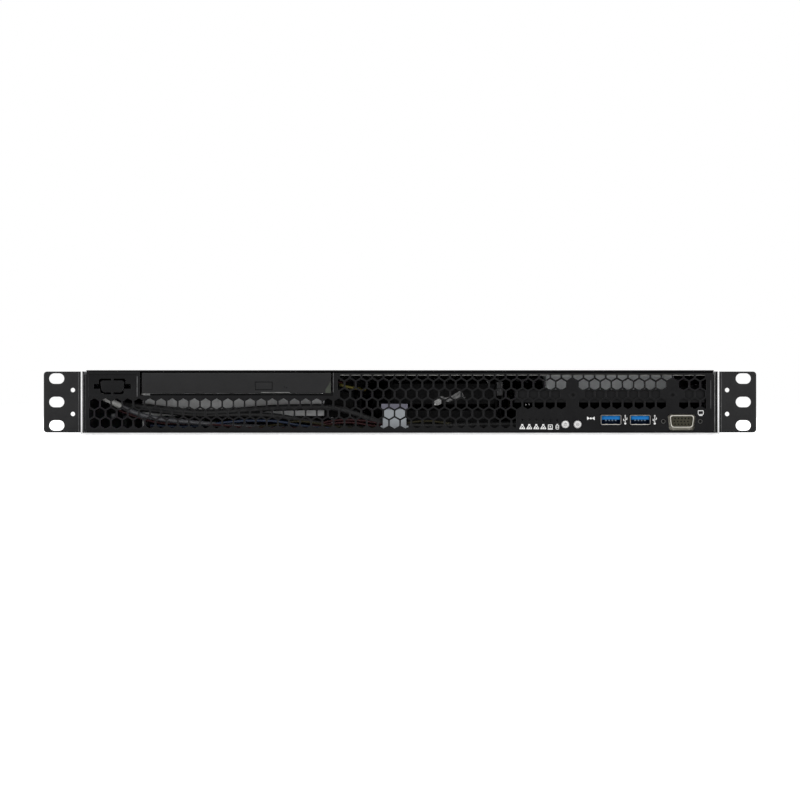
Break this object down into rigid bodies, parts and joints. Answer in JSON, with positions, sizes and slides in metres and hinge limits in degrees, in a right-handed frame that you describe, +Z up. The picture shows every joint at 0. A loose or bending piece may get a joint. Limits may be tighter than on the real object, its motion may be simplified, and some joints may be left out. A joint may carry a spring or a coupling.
{
  "type": "rack server",
  "caption": "Short-depth rack-mount server with honeycomb front, slim disc drive, front ports, sliding cover, fans, drives, mainboard and power supply inside.",
  "frame": {"origin": "middle of the underside of the whole box", "axes": "+X to the right seen from the front, +Y towards the rear, +Z up"},
  "size_m": [0.4826, 0.429, 0.0434],
  "materials": {
    "zinc_sheet": "bare zinc-coated sheet with a fine spangle",
    "black_paint": "fine-textured black powder coat",
    "black_plastic": "moulded black plastic, lightly textured",
    "screw_steel": "zinc-plated steel",
    "black_screw": "blackened steel",
    "drive_steel": "plain steel sheet",
    "white_plastic": "white moulded plastic",
    "clip_nylon": "natural nylon",
    "clear_plastic": "clear acrylic",
    "blue_plastic": "bright blue moulding",
    "port_steel": "bright tin-plated steel",
    "port_grey": "olive-grey moulding",
    "board_green": "green circuit board with solder mask",
    "chip_black": "black moulded chips and sockets",
    "heatsink": "extruded aluminium, bare",
    "standoff_brass": "bare turned brass",
    "plug_cream": "natural nylon plug",
    "cable_black": "black sleeved wires",
    "cable_grey": "pale grey flat jacket"
  },
  "bodies": {
    "chassis": {"base_pan": "zinc_sheet", "front_panel": "black_paint", "ear_right": "black_paint", "ear_left": "black_paint", "ear_screws": "black_screw", "panel_screws": "black_screw", "optical_case": "drive_steel", "optical_bracket": "zinc_sheet", "port_board": "board_green", "port_board_spacers": "standoff_brass", "lamp_bar": "clear_plastic", "button_switches": "chip_black", "usb_shells": "port_steel", "usb_inserts": "blue_plastic", "vga_shell": "port_steel", "vga_insert": "port_grey", "vga_jack_nuts": "screw_steel", "drive_shelf": "black_paint", "upper_drive_cage": "zinc_sheet", "upper_drive": "drive_steel", "lower_drive_cage": "zinc_sheet", "lower_drives": "drive_steel", "fan_bracket": "zinc_sheet", "fan_frames": "black_plastic", "mainboard": "board_green", "mainboard_standoffs": "standoff_brass", "cpu_socket": "chip_black", "cpu_heatsink": "heatsink", "chipset_heatsink": "heatsink", "memory_sockets": "chip_black", "memory_modules": "board_green", "board_connectors": "plug_cream", "main_power_plug": "plug_cream", "riser_socket": "chip_black", "riser_card": "board_green", "rear_usb_ports": "port_steel", "rear_serial_port": "port_steel", "rear_vga_port": "port_steel", "rear_lan_ports": "port_steel", "io_shield": "drive_steel", "slot_cover": "drive_steel", "psu_case": "zinc_sheet", "psu_fan_guard": "screw_steel", "psu_inlet": "black_plastic", "power_harness": "cable_black", "front_bundle": "cable_black", "grey_cable": "cable_grey", "cable_clip": "clip_nylon"},
    "cover": {"top_cover": "black_paint", "cover_thumbscrews": "screw_steel"},
    "disc_tray": {"optical_tray": "black_plastic", "optical_bezel": "black_plastic"},
    "disc_hub": {"disc_hub": "drive_steel"},
    "eject_button": {"eject_button": "black_plastic"},
    "power_button": {"power_button": "white_plastic"},
    "locate_button": {"locate_button": "white_plastic"},
    "fan_rotor_left": {"fan_rotor_left": "black_plastic"},
    "fan_rotor_middle": {"fan_rotor_middle": "black_plastic"},
    "fan_rotor_right": {"fan_rotor_right": "black_plastic"},
    "psu_fan_rotor": {"psu_fan_rotor": "black_plastic"}
  },
  "joints": [
    {"name": "cover_slide", "type": "slide", "parent": "chassis", "child": "cover", "axis": [0, 1, 0], "range_m": [0, 0.42]},
    {"name": "tray_slide", "type": "slide", "parent": "chassis", "child": "disc_tray", "axis": [0, -1, 0], "range_m": [0, 0.112]},
    {"name": "disc_spin", "type": "hinge", "parent": "disc_tray", "child": "disc_hub", "pos_m": [-0.11075, -0.1491, 0.0363], "axis": [0, 0, 1], "continuous": true},
    {"name": "eject_press", "type": "slide", "parent": "disc_tray", "child": "eject_button", "axis": [0, 1, 0], "range_m": [0, 0.0006], "stiffness_N_per_m": 300, "springref_m": -0.0006},
    {"name": "power_press", "type": "slide", "parent": "chassis", "child": "power_button", "axis": [0, 1, 0], "range_m": [0, 0.0005], "stiffness_N_per_m": 300, "springref_m": -0.0006},
    {"name": "locate_press", "type": "slide", "parent": "chassis", "child": "locate_button", "axis": [0, 1, 0], "range_m": [0, 0.0005], "stiffness_N_per_m": 300, "springref_m": -0.0006},
    {"name": "fan_left_spin", "type": "hinge", "parent": "chassis", "child": "fan_rotor_left", "pos_m": [-0.062, -0.058, 0.021], "axis": [0, 1, 0], "continuous": true},
    {"name": "fan_middle_spin", "type": "hinge", "parent": "chassis", "child": "fan_rotor_middle", "pos_m": [-0.008, -0.058, 0.021], "axis": [0, 1, 0], "continuous": true},
    {"name": "fan_right_spin", "type": "hinge", "parent": "chassis", "child": "fan_rotor_right", "pos_m": [0.046, -0.058, 0.021], "axis": [0, 1, 0], "continuous": true},
    {"name": "psu_fan_spin", "type": "hinge", "parent": "chassis", "child": "psu_fan_rotor", "pos_m": [0.139, 0.193, 0.021], "axis": [0, 1, 0], "continuous": true}
  ]
}
